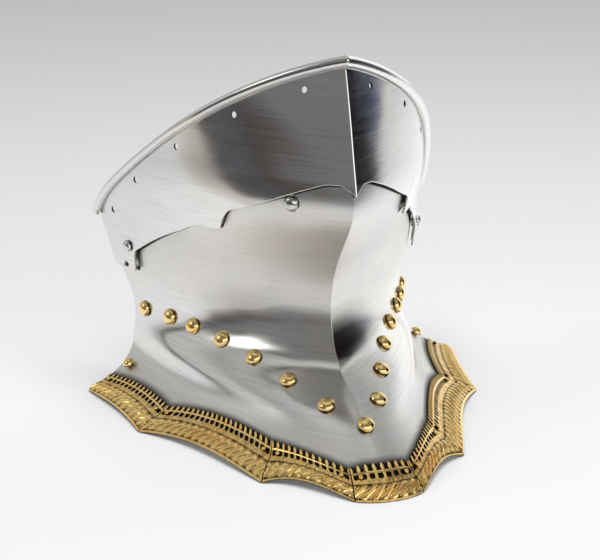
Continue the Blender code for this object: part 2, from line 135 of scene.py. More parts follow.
def smooth(points):
    """A natural cubic spline through (height, value) pairs, as a function of an array of heights."""
    x, y = np.array(points, float).T
    step = np.diff(x)
    grid = np.eye(len(x))
    bend = np.zeros(len(x))
    for i in range(1, len(x) - 1):
        grid[i, i - 1 : i + 2] = step[i - 1], 2 * (step[i - 1] + step[i]), step[i]
        bend[i] = 6 * ((y[i + 1] - y[i]) / step[i] - (y[i] - y[i - 1]) / step[i - 1])
    curve = np.linalg.solve(grid, bend)

    def value(height):
        i = np.clip(np.searchsorted(x, height) - 1, 0, len(x) - 2)
        a, b = x[i + 1] - height, height - x[i]
        cubic = (curve[i] * a**3 + curve[i + 1] * b**3) / (6 * step[i])
        line = (y[i] / step[i] - curve[i] * step[i] / 6) * a
        return cubic + line + (y[i + 1] / step[i] - curve[i + 1] * step[i] / 6) * b

    return value


keel_depth, half_width, rear_edge = smooth(KEEL_DEPTH), smooth(HALF_WIDTH), smooth(REAR_EDGE)
keel_angle, keel_reach, side_angle = smooth(KEEL_ANGLE), smooth(KEEL_REACH), smooth(SIDE_ANGLE)


def outline(z, t):
    """The x and y of the level outline at height z, at curve parameter t."""
    front = np.stack([0 * z, -keel_depth(z)], -1)
    rear = np.stack([half_width(z), rear_edge(z)], -1)
    span = np.linalg.norm(rear - front, axis=-1)[..., None]
    nose, side = np.radians(keel_angle(z)), np.radians(side_angle(z))
    leave = front + keel_reach(z)[..., None] * span * np.stack([np.cos(nose), np.sin(nose)], -1)
    arrive = rear - SIDE_REACH * span * np.stack([np.sin(side), np.cos(side)], -1)
    t = t[..., None]
    return (1 - t) ** 3 * front + 3 * (1 - t) ** 2 * t * leave + 3 * (1 - t) * t**2 * arrive + t**3 * rear


TABLE_LOW, TABLE_HIGH, TABLE_STEPS = -8, 250.0, 240
TABLE_END = 0.001  # a sliver that keeps the last place inside the table


def share_table():
    """For each whole height and each share of the outline's length, the curve parameter there."""
    heights = np.arange(TABLE_LOW, TABLE_HIGH)
    shares = np.linspace(0, 1, TABLE_STEPS + 1)
    points = outline(*np.meshgrid(heights, shares, indexing="ij"))
    length = np.cumsum(np.linalg.norm(np.diff(points, axis=1, prepend=points[:, :1]), axis=-1), axis=1)
    return np.array([np.interp(shares, row / row[-1], shares) for row in length])


PARAMETER = share_table()


def bare(u, z):
    """The gorget's outer face at places (u, z), for u of 0 or more."""
    row = np.clip(z - TABLE_LOW, 0, len(PARAMETER) - 1 - TABLE_END)
    column = np.clip(u, 0, 1) * (TABLE_STEPS - TABLE_END)
    i, j = row.astype(int), column.astype(int)
    a, b = row - i, column - j
    low = PARAMETER[i, j] * (1 - b) + PARAMETER[i, j + 1] * b
    high = PARAMETER[i + 1, j] * (1 - b) + PARAMETER[i + 1, j + 1] * b
    return np.concatenate([outline(z, low * (1 - a) + high * a), z[..., None]], -1)


NUDGE_U, NUDGE_Z = 0.004, 0.4  # to each side, for the slopes that a normal is made from


def normal(u, z):
    """The outward normal at places (u, z). On the keel it is the mitre of the sides, and longer than 1."""
    a = np.clip(np.abs(u), NUDGE_U, 1 - NUDGE_U)
    along = bare(a + NUDGE_U, z) - bare(a - NUDGE_U, z)
    up = bare(a, z + NUDGE_Z) - bare(a, z - NUDGE_Z)
    n = np.cross(along, up)
    n /= np.linalg.norm(n, axis=-1)[..., None]
    keel = (u == 0)[..., None]
    mitre = n * [0, 1, 1] / (n[..., 1:] ** 2).sum(-1)[..., None]
    return np.where(keel, mitre, n) * np.stack([np.where(u < 0, -1, 1), 0 * u + 1, 0 * u + 1], -1)


def crisp(u, z, lift):
    """The point at places (u, z) and lift, with the keel as a sharp fold."""
    point = bare(np.abs(u), z) * np.stack([np.where(u < 0, -1, 1), 0 * u + 1, 0 * u + 1], -1)
    return point + normal(u, z) * lift[..., None]


KEEL_FLAT = 3.0 / SIDE_LENGTH  # on each side, the step of u over which the plate runs straight to the fold
KEEL_TAPS = ((-0.4, 1), (-0.2, 2), (0.0, 2), (0.2, 2), (0.4, 1))  # millimetres along u, and weight


def beside_keel(u, z, lift):
    """As crisp, for places nearer than KEEL_FLAT, with the keel rounded off as hand polishing leaves it."""
    fold = crisp(0 * u, z, lift)
    right, left = (crisp(0 * u + side * KEEL_FLAT, z, lift) - fold for side in (-1, 1))
    point = 0 * fold
    for step, weight in KEEL_TAPS:
        at = (u + step / SIDE_LENGTH)[..., None]
        point += weight * (fold + np.where(at < 0, right, left) * np.abs(at) / KEEL_FLAT)
    return point / sum(weight for _, weight in KEEL_TAPS)


def skin(u, z, lift=0.0):
    """The point at places (u, z) and lift, in metres and in the frame."""
    u, z, lift = (np.array(a, float) for a in np.broadcast_arrays(u, z, lift))
    point = crisp(u, z, lift)
    near = np.abs(u) < KEEL_FLAT
    if near.any():
        point[near] = beside_keel(u[near], z[near], lift[near])
    return (point + [0, PIVOT_Y, 0]) * MM


def level(u, height, lift):
    """The z of the place whose point at this lift is at this height above the ground."""
    z = np.array(np.broadcast_to(height, np.shape(u)), float)
    for _ in range(6):
        z += height - skin(u, z, lift)[..., 2] / MM
    return z


def facing(u, z, lift=0.0):
    """A matrix at place (u, z) and lift, with its local Z along the outward normal."""
    u, z = np.array([u or 1e-6], float), np.array([z], float)
    turn = Vector(normal(u, z)[0]).to_track_quat("Z", "Y").to_matrix().to_4x4()
    return Matrix.Translation(skin(u, z, lift)[0]) @ turn


def arch(u, rises):
    """How far an edge with these rises stands above the line through its tips."""
    a = np.minimum(np.abs(u), 1.0)
    stops = np.array((-TIPS[0],) + TIPS)
    i = np.clip(np.searchsorted(stops, a), 1, len(TIPS))
    share = 2 * (a - stops[i - 1]) / (stops[i] - stops[i - 1]) - 1
    return np.array(rises)[i - 1] * (1 - share**2)


def scallop(u):
    """The height of the lower edge."""
    return arch(u, RISES)


def border_top(u):
    """The height of the border's upper edge."""
    return np.interp(np.abs(u), TIPS, BORDER_TOP) + arch(u, TOP_RISES)


def border_height(u, v):
    """The height at share v of the border's breadth, from its lip at 0 to the points of its teeth at 1."""
    low = scallop(u)
    return low + (border_top(u) - low) * v


def gorget_top(u):
    return GORGET_TOP[0] + GORGET_TOP[1] * np.abs(u)


def rim_line(u):
    return RIM_LINE[0] + RIM_LINE[1] * np.abs(u) + RIM_LINE[2] * u**2


def fall_edge(u):
    """The height of the falling plate's lower edge, curved through its points with no overshoot."""
    x, y = np.array(FALL_EDGE).T
    slope = np.diff(y) / np.diff(x)
    turn = slope[:-1] * slope[1:]
    bend = np.where(turn > 0, 2 * turn / np.where(turn > 0, slope[:-1] + slope[1:], 1), 0)
    tangent = np.concatenate([slope[:1], bend, slope[-1:]])
    a = np.clip(np.abs(u), 0, 1)
    i = np.clip(np.searchsorted(x, a) - 1, 0, len(x) - 2)
    width = x[i + 1] - x[i]
    t = (a - x[i]) / width
    ends = (1 + 2 * t) * (1 - t) ** 2 * y[i] + t**2 * (3 - 2 * t) * y[i + 1]
    return ends + width * (t * (1 - t) ** 2 * tangent[i] - t**2 * (1 - t) * tangent[i + 1])


def rivet_line(u):
    """The height of the lining rivets: a V that flattens towards the sides."""
    return RIVET_V_TOP - RIVET_V_DROP * (1 - np.abs(u) / RIVET_V_REACH) ** 2


def dents(u, z):
    """The slow unevenness of hammered plate, as a lift: waves of about 60 mm, and of about 110 mm."""
    s = u * SIDE_LENGTH
    small = np.sin(s / 9 + 0.06 * z) * np.sin(z / 11 + 0.02 * s)
    large = np.sin(s / 17 - z / 23 + 1.0)
    return DENT_DEPTH * (0.45 * small + 0.55 * large)


# --- Mesh work ---


def link(made):
    bpy.context.scene.collection.objects.link(made)


def new_piece(name, points, faces, finishes, body, stands_for=(), sharp=50):
    """A mesh object in the frame that rides on a body, and stands for the named CAD nodes."""
    mesh = bpy.data.meshes.new(name)
    mesh.from_pydata([tuple(p) for p in points], [], faces)
    mesh.validate()
    mesh.shade_smooth()
    mesh.set_sharp_from_angle(angle=math.radians(sharp))
    for finish in finishes:
        mesh.materials.append(finish)
    made = bpy.data.objects.new(name, mesh)
    link(made)
    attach(made, body)
    if stands_for:
        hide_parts(*stands_for)
    return made


def give(made, name, values):
    """Stores one number for each point, which the materials read."""
    stored = made.data.attributes.new(name, "FLOAT", "POINT").data
    stored.foreach_set("value", np.ravel(values).astype(np.float32))


def give_map(made, along, across):
    """Stores millimetres along and across the surface for each point, as the UV map that brushing follows."""
    corners = np.empty(len(made.data.loops), np.int32)
    made.data.loops.foreach_get("vertex_index", corners)
    places = np.stack([np.ravel(along), np.ravel(across)], -1)[corners] * MM
    made.data.uv_layers.new(name="surface").data.foreach_set("uv", places.ravel().astype(np.float32))


def ring_faces(columns, count):
    """The faces between so many columns, each a closed loop of count points."""
    faces = []
    for c in range(columns - 1):
        for i in range(count):
            j = (i + 1) % count
            faces.append((c * count + j, (c + 1) * count + j, (c + 1) * count + i, c * count + i))
    return faces


def capped_faces(columns, count):
    """As ring_faces, with each end closed by one face."""
    last = columns * count - 1
    return ring_faces(columns, count) + [tuple(range(count)), tuple(range(last, last - count, -1))]


def loop_faces(columns, count):
    """As ring_faces, with each end closed by a row of faces between the two sides of its loop."""
    faces = ring_faces(columns, count)
    for start, turn in ((0, 1), ((columns - 1) * count, -1)):
        for i in range(count // 2 - 1):
            face = (start + i, start + i + 1, start + count - 2 - i, start + count - 1 - i)
            faces.append(face[::turn])
    return faces


def edge_round(edge, toward, inside, outside):
    """The outer half of a rounded edge, as (height, lift) arrays; the plate lies toward +1 or -1 from it."""
    middle = (inside + outside) / 2
    return [
        (edge, middle + 0 * edge),
        (edge, outside - EDGE_ROUND + 0 * edge),
        (edge + toward * ROUND_MIDDLE * EDGE_ROUND, outside - ROUND_MIDDLE * EDGE_ROUND + 0 * edge),
        (edge + toward * EDGE_ROUND, outside + 0 * edge),
    ]


def turned(name, profile, where, finish, body, stands_for, segments=40, wobble=0.0):
    """A piece turned about local Z of matrix where, from (radius, height) pairs; its ends are on the axis."""
    angles = np.linspace(0, 2 * math.pi, segments, endpoint=False)
    inner = profile[1:-1]
    rings = [
        (r * math.cos(a) * (1 + wobble * math.sin(2 * a)), r * math.sin(a), h)
        for r, h in inner
        for a in angles
    ]
    points = [(0, 0, profile[0][1])] + rings + [(0, 0, profile[-1][1])]
    faces = []
    for k in range(segments):
        n = (k + 1) % segments
        faces.append((0, 1 + k, 1 + n))
        for ring in range(len(inner) - 1):
            a, b = 1 + ring * segments, 1 + (ring + 1) * segments
            faces.append((a + k, b + k, b + n, a + n))
        last = 1 + (len(inner) - 1) * segments
        faces.append((last + n, last + k, len(points) - 1))
    placed = [where @ (Vector(p) * MM) for p in points]
    return new_piece(name, placed, faces, [finish], body, stands_for)


def dome(radius, height, floor, rings=9):
    """The profile of a dome from its crown to its rim, standing on floor."""
    steps = [math.radians(90 * i / rings) for i in range(rings + 1)]
    return [(radius * math.sin(a), floor + height * math.cos(a)) for a in steps]


def cut_holes(made, holes, sides=32):
    """Cuts round holes through a piece, each given as (matrix, radius, half length)."""
    angles = np.linspace(0, 2 * math.pi, sides, endpoint=False)
    points, faces = [], []
    for where, radius, reach in holes:
        start = len(points)
        for end in (-reach, reach):
            ring = [(radius * math.cos(a), radius * math.sin(a), end) for a in angles]
            points += [where @ (Vector(place) * MM) for place in ring]
        for k in range(sides):
            n = (k + 1) % sides
            faces.append((start + k, start + n, start + sides + n, start + sides + k))
        faces.append(tuple(range(start + sides - 1, start - 1, -1)))
        faces.append(tuple(range(start + sides, start + 2 * sides)))
    mesh = bpy.data.meshes.new("cutter")
    mesh.from_pydata(points, [], faces)
    cutter = bpy.data.objects.new("cutter", mesh)
    link(cutter)
    modifier = made.modifiers.new("holes", "BOOLEAN")
    modifier.object = cutter
    bpy.context.view_layer.objects.active = made
    bpy.ops.object.modifier_apply(modifier=modifier.name)
    bpy.data.objects.remove(cutter)


# --- Materials ---


class Nodes:
    """Short calls for building the nodes of one material, or of the world."""

    def __init__(self, owner, shader="Principled BSDF"):
        self.owner = owner
        owner.use_nodes = True
        self.tree = owner.node_tree
        self.shader = self.tree.nodes[shader]

    def add(self, kind, **settings):
        """A node; a setting that has the name of one of its inputs is linked to it or is its value."""
        node = self.tree.nodes.new(kind)
        for name, value in settings.items():
            if name in node.inputs:
                self.put(node.inputs[name], value)
            else:
                setattr(node, name, value)
        return node

    def put(self, socket, value):
        """Links a socket to another, or sets its value; a colour of three numbers is made opaque."""
        if isinstance(value, bpy.types.NodeSocket):
            self.tree.links.new(value, socket)
        elif socket.type == "RGBA":
            socket.default_value = (*value[:3], 1)
        else:
            socket.default_value = value

    def set(self, **values):
        for name, value in values.items():
            self.put(self.shader.inputs[name.replace("_", " ")], value)

    def place(self):
        return self.add("ShaderNodeTexCoord").outputs["Object"]

    def stored(self, name):
        """One of the numbers that give() stored."""
        return self.add("ShaderNodeAttribute", attribute_name=name).outputs["Fac"]

    def scaled(self, vector, scale):
        return self.add("ShaderNodeMapping", Vector=vector, Scale=scale).outputs[0]

    def noise(self, vector, scale, detail=4.0, roughness=0.55):
        node = self.add("ShaderNodeTexNoise", Vector=vector, Scale=scale, Detail=detail, Roughness=roughness)
        return node.outputs["Fac"]

    def ramp(self, factor, *stops):
        """A ramp through (position, value or colour) stops."""
        node = self.add("ShaderNodeValToRGB", Fac=factor)
        elements = node.color_ramp.elements
        while len(elements) < len(stops):
            elements.new(1.0)
        for element, (position, value) in zip(elements, stops):
            element.position = position
            element.color = (*value, 1) if isinstance(value, tuple) else (value, value, value, 1)
        return node.outputs["Color"]

    def mix(self, factor, a, b, blend="MIX"):
        node = self.add("ShaderNodeMix", data_type="RGBA", blend_type=blend)
        self.put(node.inputs[0], factor)
        self.put(node.inputs[6], a)
        self.put(node.inputs[7], b)
        return node.outputs[2]

    def math(self, operation, a, b=0.0):
        node = self.add("ShaderNodeMath", operation=operation)
        self.put(node.inputs[0], a)
        self.put(node.inputs[1], b)
        return node.outputs[0]

    def total(self, a, b):
        return self.math("ADD", a, b)

    def product(self, a, b):
        return self.math("MULTIPLY", a, b)

    def window(self, value, low, high, blur):
        """1 where value lies between low and high, with soft edges."""
        sides = []
        for edge, start, end in ((low, 0, 1), (high, 1, 0)):
            node = self.add("ShaderNodeMapRange", interpolation_type="SMOOTHSTEP", Value=value)
            values = {"From Min": edge - blur, "From Max": edge + blur, "To Min": start, "To Max": end}
            for name, number in values.items():
                node.inputs[name].default_value = number
            sides.append(node.outputs[0])
        return self.product(*sides)

    def bump(self, height, strength, distance, under=None):
        node = self.add("ShaderNodeBump", Height=height, Strength=strength, Distance=distance)
        if under:
            self.put(node.inputs["Normal"], under)
        return node.outputs[0]


def plate_steel(name, shade, roughness, brushing):
    """Hand-polished plate: brushing and scratches along the surface map, and slow changes of shade."""
    n = Nodes(bpy.data.materials.new(name))
    surface = n.add("ShaderNodeUVMap", uv_map="surface").outputs[0]
    place = n.place()
    fine = n.noise(n.scaled(surface, (40, 2200, 1)), 1.0, 3.0)
    broad = n.noise(n.scaled(surface, (14, 260, 1)), 1.0, 4.0)
    cloud = n.noise(place, 22.0, 3.0)
    streak = n.noise(n.scaled(surface, (20, 800, 1)), 1.0, 3.0, 0.7)
    warm = tuple(shade * c for c in (1.0, 0.98, 0.935))
    cool = tuple(shade * c for c in (0.95, 0.96, 0.975))
    colour = n.mix(n.ramp(cloud, (0.35, 0.0), (0.65, 1.0)), warm, cool)
    colour = n.mix(n.ramp(streak, (0.36, 0.18), (0.52, 0.0)), colour, (0.34, 0.33, 0.31))
    dull = n.stored("dull")
    colour = n.mix(dull, colour, (0.66, 0.64, 0.59))
    # A painted shadow line: near black just under the falling plate's edge, where the gap between the plates
    # is.
    overlap = n.stored("overlap")
    # Black under the border's piercings, fading above its teeth: dirt, and painted shade under the border.
    grime_and_shade = n.stored("grime_and_shade")
    shadow_under_edge = n.ramp(n.math("DIVIDE", overlap, 6.0), (0.0, 0.0), (0.15, 1.0), (0.4, 1.0), (0.8, 0.0))
    grime_and_shade = n.math("MAXIMUM", grime_and_shade, shadow_under_edge)
    colour = n.mix(grime_and_shade, colour, (0.03, 0.026, 0.022))
    rough = n.total(n.product(broad, 0.14), roughness - 0.07)
    rough = n.total(rough, n.product(n.ramp(cloud, (0.45, 0.0), (0.7, 1.0)), 0.05))
    rough = n.total(rough, n.product(grime_and_shade, 0.3))
    rough = n.total(rough, dull)
    n.set(Base_Color=colour, Metallic=1.0, Roughness=rough)
    soft = n.bump(streak, brushing * 1.6, 0.0001, n.bump(broad, brushing, 0.0002))
    n.set(Normal=n.bump(fine, brushing, 0.00004, soft))
    return n.owner


def fitting_steel(name, shade, roughness):
    """Turned steel, with the tiny pits and marks of small hardware."""
    n = Nodes(bpy.data.materials.new(name))
    place = n.place()
    marks = n.noise(place, 900.0, 3.0)
    cloud = n.noise(place, 160.0, 2.0)
    pale, dull = (shade, shade * 0.99, shade * 0.97), (shade * 0.72, shade * 0.71, shade * 0.7)
    n.set(Base_Color=n.mix(n.ramp(cloud, (0.4, 0.0), (0.75, 1.0)), pale, dull), Metallic=1.0)
    n.set(Roughness=n.total(n.product(marks, 0.12), roughness))
    n.set(Normal=n.bump(marks, 0.25, 0.00003))
    return n.owner


def pressed_brass():
    """Border brass: bright where the relief stands up, dark in its recesses and on the sheet's back, partly
    old polish and dirt and partly painted shade; the rail and the teeth's ridges carry painted highlights.
    """
    n = Nodes(bpy.data.materials.new("pressed_brass"))
    place = n.place()
    height = n.stored("relief")
    cloud = n.noise(place, 55.0, 4.0)
    grain = n.noise(place, 1400.0, 3.0)
    blotch = n.noise(place, 260.0, 3.0)
    gold = n.mix(n.ramp(cloud, (0.35, 0.0), (0.7, 1.0)), (1.0, 0.73, 0.29), (1.0, 0.62, 0.20))
    # Painted shade and highlight, partly wear: the stored relief, low in recesses and on the sheet's back,
    # turns the brass near black there and gold where it is high.
    lit = n.total(height, n.product(n.math("SUBTRACT", blotch, 0.5), 0.5))
    clean_and_lit = n.ramp(lit, (0.20, 0.0), (0.50, 1.0))
    n.set(Base_Color=n.mix(clean_and_lit, (0.02, 0.008, 0.002), gold), Metallic=1.0)
    n.set(Roughness=n.ramp(lit, (0.1, 0.6), (0.55, 0.2)))
    n.set(Normal=n.bump(grain, 0.35, 0.00006))
    return n.owner


def rivet_brass():
    """Polished domes, with fine wear and a painted shadow that darkens the skirt round the foot."""
    n = Nodes(bpy.data.materials.new("rivet_brass"))
    place = n.place()
    height = n.stored("relief")
    wear = n.noise(place, 420.0, 3.0)
    cloud = n.noise(place, 90.0, 2.0)
    gold = n.mix(n.ramp(cloud, (0.35, 0.0), (0.7, 1.0)), (0.93, 0.71, 0.33), (0.86, 0.60, 0.23))
    # Painted shadow: the foot of each dome, low in its stored relief, is mixed to dark brown.
    n.set(Base_Color=n.mix(n.ramp(height, (0.0, 0.0), (0.3, 1.0)), (0.16, 0.09, 0.03), gold), Metallic=1.0)
    n.set(Roughness=n.total(n.product(wear, 0.12), 0.10))
    n.set(Normal=n.bump(wear, 0.25, 0.00012))
    return n.owner


def leather():
    n = Nodes(bpy.data.materials.new("leather"))
    place = n.place()
    grain = n.add("ShaderNodeTexVoronoi", Vector=place, Scale=1100.0, feature="DISTANCE_TO_EDGE").outputs[0]
    cloud = n.noise(place, 70.0, 4.0)
    colour = n.mix(n.ramp(cloud, (0.3, 0.0), (0.7, 1.0)), (0.13, 0.065, 0.032), (0.24, 0.135, 0.07))
    n.set(Base_Color=n.mix(n.ramp(grain, (0.0, 0.35), (0.12, 0.0)), colour, (0.05, 0.025, 0.015)))
    n.set(Roughness=n.total(n.product(cloud, 0.25), 0.5))
    n.set(Normal=n.bump(n.ramp(grain, (0.0, 0.0), (0.2, 1.0)), 0.4, 0.00015))
    return n.owner


def thread():
    n = Nodes(bpy.data.materials.new("linen_thread"))
    place = n.place()
    twist = n.noise(place, 1500.0, 2.0)
    n.set(Base_Color=n.mix(twist, (0.55, 0.46, 0.32), (0.75, 0.67, 0.5)), Roughness=0.85)
    n.set(Normal=n.bump(twist, 0.5, 0.0001))
    return n.owner


STEEL = plate_steel("polished_steel", shade=0.75, roughness=0.14, brushing=0.14)
STEEL_INSIDE = plate_steel("steel_inside", shade=0.36, roughness=0.42, brushing=0.30)
FITTING = fitting_steel("fitting_steel", shade=0.66, roughness=0.14)
SPRING = fitting_steel("spring_steel", shade=0.34, roughness=0.34)
BORDER_BRASS = pressed_brass()
RIVET_BRASS = rivet_brass()
LEATHER = leather()
THREAD = thread()


# --- The plates ---


def spaced(stops, step):
    """Values through all the stops, with even steps of about the given size between them."""
    values = [stops[0]]
    for low, high in zip(stops, stops[1:]):
        count = max(1, round((high - low) / step))
        values += [low + (high - low) * i / count for i in range(1, count + 1)]
    return np.array(values)


def mirrored(values):
    return np.concatenate([-values[:0:-1], values])


def plate_columns():
    """Places of the columns, close together at the keel, where the plate folds."""
    near = np.array(KEEL_COLUMNS) / SIDE_LENGTH
    return mirrored(np.concatenate([near, spaced((near[-1],) + TIPS, COLUMN_STEP)[1:]]))


def inner_faces(made, count, half):
    """Gives the second finish to the faces on the inner half of each loop."""
    corner = np.array([max(p.vertices) % count for p in made.data.polygons])
    low = np.array([min(v % count for v in p.vertices) for p in made.data.polygons])
    inside = (low >= half) & (corner >= half)
    made.data.polygons.foreach_set("material_index", inside.astype(np.int32))


def plate(name, u, outer, top, inner, body, node):
    """A closed plate from (height, lift) rows up its outer face, over its top edge and down inside."""
    rows = outer + top + inner
    z, lift = (np.stack([row[k] + 0 * u for row in rows], 1) for k in (0, 1))
    places = np.repeat(u[:, None], len(rows), 1)
    points = skin(places, z, lift).reshape(-1, 3)
    faces = loop_faces(len(u), len(rows))
    finishes = [STEEL, STEEL_INSIDE]
    made = new_piece(name, points, faces, finishes, body, [node], sharp=60)
    inner_faces(made, len(rows), len(rows) - len(inner))
    give_map(made, places * SIDE_LENGTH, z)
    return made


def grime_and_shade_under_border(u, rows, outside_rows):
    """How dark the gorget is painted at each point, as dirt and as painted shade under the border: black in
    the border's piercings, clear above its teeth.
    """
    above = np.stack([np.clip((row[0] - border_top(u)) / GRIME_AND_SHADE_FADE, 0, 1) for row in rows], 1)
    above[:, outside_rows:] = 1
    return 1 - above


def stain_and_shade_gorget(made, u, rows, outside_rows):
    """Stores where the gorget is dark or dull: dirt and painted shade under the border, lost polish, and the
    height over the overlap, which puts a painted shadow line under the falling plate's edge.
    """
    give(made, "grime_and_shade", grime_and_shade_under_border(u, rows, outside_rows))
    heights = np.stack([row[0] + 0 * u for row in rows], 1)
    give(made, "dull", np.interp(heights, *np.array(DULL).T))
    overlap = heights - fall_edge(u)[:, None] + OVERLAP_SHADOW
    overlap[:, outside_rows:] = 0
    give(made, "overlap", overlap)


def make_gorget():
    u = plate_columns()
    low, high = scallop(u), gorget_top(u)
    flare = np.linspace(0, 0.5, FLARE_ROWS) ** FLARE_CROWDING
    steps = np.concatenate([flare, np.linspace(0.5, 1, NECK_ROWS)[1:]])
    steps = steps / steps[-1]
    heights = [low + EDGE_ROUND + (high - low - 2 * EDGE_ROUND) * share for share in steps]
    uneven = [(dents(u, z) - DENT_DEPTH) * np.clip((z - border_top(u)) / DENT_START, 0, 1) for z in heights]
    edge = edge_round(low, 1, -PLATE, 0.0)[:3]
    outer_edge = [(level(u, z, lift), lift) for z, lift in edge]
    inner_edge = [(level(u, z, -PLATE - lift), -PLATE - lift) for z, lift in edge]
    inner_low = level(u, low + EDGE_ROUND, -PLATE)
    inner_heights = [inner_low + (high - EDGE_ROUND - inner_low) * share for share in steps]
    outer = outer_edge + [(z, lift) for z, lift in zip(heights, uneven)]
    top = edge_round(high, -1, -PLATE, 0.0)[:3]
    top = top[::-1] + [(z, -PLATE - lift) for z, lift in top]
    inner = [(z, lift - PLATE) for z, lift in zip(inner_heights, uneven)][::-1] + inner_edge[::-1]
    made = plate("gorget_shell", u, outer, top, inner, "gorget", "gorget_plate")
    stain_and_shade_gorget(made, u, outer + top + inner, len(outer))
    pivots = [(facing(*pivot_place(side)), SHANK + GORGET_PIVOT_GAP, CUT_REACH) for side in (-1, 1)]
    cut_holes(made, [(facing(*STUD), STUD_RADIUS + STUD_GAP, STUD_CUT_REACH)] + pivots)


def make_falling_plate():
    """The falling plate, its rim rolled outward until the edge of the sheet meets the plate again."""
    u = mirrored(spaced([place for place, _ in FALL_EDGE], FALLING_STEP))
    u = np.unique(np.concatenate([u, mirrored(np.array(FALLING_KEEL_COLUMNS) / SIDE_LENGTH)]))
    inside, outside = STAND_OFF, STAND_OFF + PLATE
    low, high = fall_edge(u), rim_line(u)
    steps = np.concatenate([[0, 0.004], np.linspace(0.012, 1, FALLING_ROWS)])
    heights = [low + EDGE_ROUND + (high - RIM_START - low - EDGE_ROUND) * share for share in steps]
    uneven = [dents(u + FALLING_DENT_SHIFT, z) for z in heights]
    edge = edge_round(low, 1, inside, outside)[:3]
    outer = edge + [(z, outside + lift) for z, lift in zip(heights, uneven)]
    start = math.acos((outside - inside - RIM_RADIUS) / RIM_RADIUS)
    middle = high + RIM_RADIUS * math.sin(start)
    groove = [(high + RIM_GROOVE[0], outside + lift) for lift in RIM_GROOVE[1:]]
    begin = start * RIM_CLOSES
    angles = [-begin + (begin + math.pi) * i / RIM_TURNS for i in range(RIM_TURNS + 1)]
    roll = [(middle + RIM_RADIUS * math.sin(a), inside + RIM_RADIUS * (1 + math.cos(a))) for a in angles]
    inner_edge = [(z, inside + outside - lift) for z, lift in edge]
    inner = [(z, inside + DENT_DEPTH + lift) for z, lift in zip(heights, uneven)][::-1] + inner_edge[::-1]
    made = plate("falling_shell", u, outer, groove + roll, inner, "falling", "falling_plate")
    holes = []
    for side in (-1, 1):
        holes.append((facing(*pivot_place(side), outside), SHANK + FALLING_PIVOT_GAP, CUT_REACH))
        for place, drop in LACE_HOLES:
            where = facing(side * place, rim_line(place) - drop, outside)
            holes.append((where, LACE_HOLE_RADIUS, CUT_REACH))
    cut_holes(made, holes)


# --- The border ---

SEGMENTS = ("side_right", "quarter_right", "fore_right", "front", "fore_left", "quarter_left", "side_left")
SEGMENT_ENDS = tuple(-tip for tip in reversed(TIPS)) + TIPS
CELLS = {"front": 8, "fore": 12, "quarter": 21, "side": 16}  # pierced holes in each kind of segment
SEAM = 0.4
BRASS_UNDER, BRASS_FACE = 0.4, 1.0  # lifts of the sheet's back and of its flat face
BRASS_THINS = 0.06  # off each face of the pierced sheet, which lets the pressed one cover its lower edge
PRESSED_STEP, PRESSED_ROWS, BACK_ROWS = 0.42, 44, 6

# Shares of the border's breadth: the rope, the line of notches, the top of the pressed sheet, and the pierced
# sheet's lower edge, the middle of its holes and its rail.
ROPE_LOW, ROPE_HIGH = 0.05, 0.47
NOTCH_LINE = 0.535
BAND_TOP = 0.62
PIERCED_LOW, HOLE_MIDDLE, RAIL_LOW, RAIL_HIGH = 0.58, 0.695, 0.79, 0.825
RAIL_MIDDLE = (RAIL_LOW + RAIL_HIGH) / 2
RAIL_RISE, TOOTH_RISE = 0.35, 0.25

ROPE_PITCH = 6.4
ROPE_SLANT = 1.35
ROPE_RISE = 1.6
LEAF_SHARE, VEIN_AT, BEADS_AT = 0.70, 0.35, 0.85  # shares of the rope's pitch
BEADS_ACROSS = 9
NOTCH_PITCH = 3.1

CELL_SIDES = 32  # points round one hole
HOLE_HALF, HOLE_RISE, HOLE_NOTCH = 0.35, 0.080, 0.020  # a share of the cell's pitch, then two of the breadth
TOOTH_WIDTHS = (0.20, 0.235, 0.235, 0.20, 0.13, 0.04)  # of the cell's pitch, from the rail to the point

PIN_INSET = 6.0
PIN_LEVELS = (0.28, 0.68)  # shares of the border's breadth
PIN_HEAD, PIN_FOOT = (1.35, 0.8, 1.9), 0.9  # radius, height and floor of its dome, and its lower end


def hump(x, middle, width):
    """A smooth hump that is 1 high at the middle."""
    return np.exp(-(((x - middle) / width) ** 2))


def rope(s, w):
    """The pressed rope, s millimetres along and share w across: slanting leaves, with beads between them."""
    drift = 0.12 * np.sin(s / 13.0) + 0.07 * np.sin(s / 4.1 + 1.0)
    phase = s / ROPE_PITCH + drift - ROPE_SLANT * (w - 0.09 * np.sin(2 * math.pi * w))
    x = phase - np.floor(phase)
    leaf = np.sin(math.pi * np.clip(x / LEAF_SHARE, 0, 1)) ** 0.75
    vein = 0.35 * hump(x, VEIN_AT, 0.045) * np.sin(math.pi * w)
    beads = hump(x, BEADS_AT, 0.075) * (0.35 + 0.65 * np.cos(math.pi * BEADS_ACROSS * w) ** 2)
    crown = np.sin(math.pi * np.clip(w, 0, 1)) ** 0.55
    return crown * (0.22 + 0.78 * np.maximum(leaf - vein, 0.85 * beads))


def relief(s, v):
    """The lift of the pressed face above the flat of the sheet, from its lip to the plain band."""
    w = (v - ROPE_LOW) / (ROPE_HIGH - ROPE_LOW)
    rise = ROPE_RISE * np.where((w > 0) & (w < 1), rope(s, np.clip(w, 0, 1)), 0)
    lip = 0.35 * hump(v, 0.02, 0.018)
    ridge = 0.4 * hump(v - ROPE_HIGH, 0.015, 0.012)
    notches = 0.25 * hump(v, NOTCH_LINE, 0.02) * (np.cos(2 * math.pi * s / NOTCH_PITCH) > 0.55)
    return rise + lip + ridge + notches


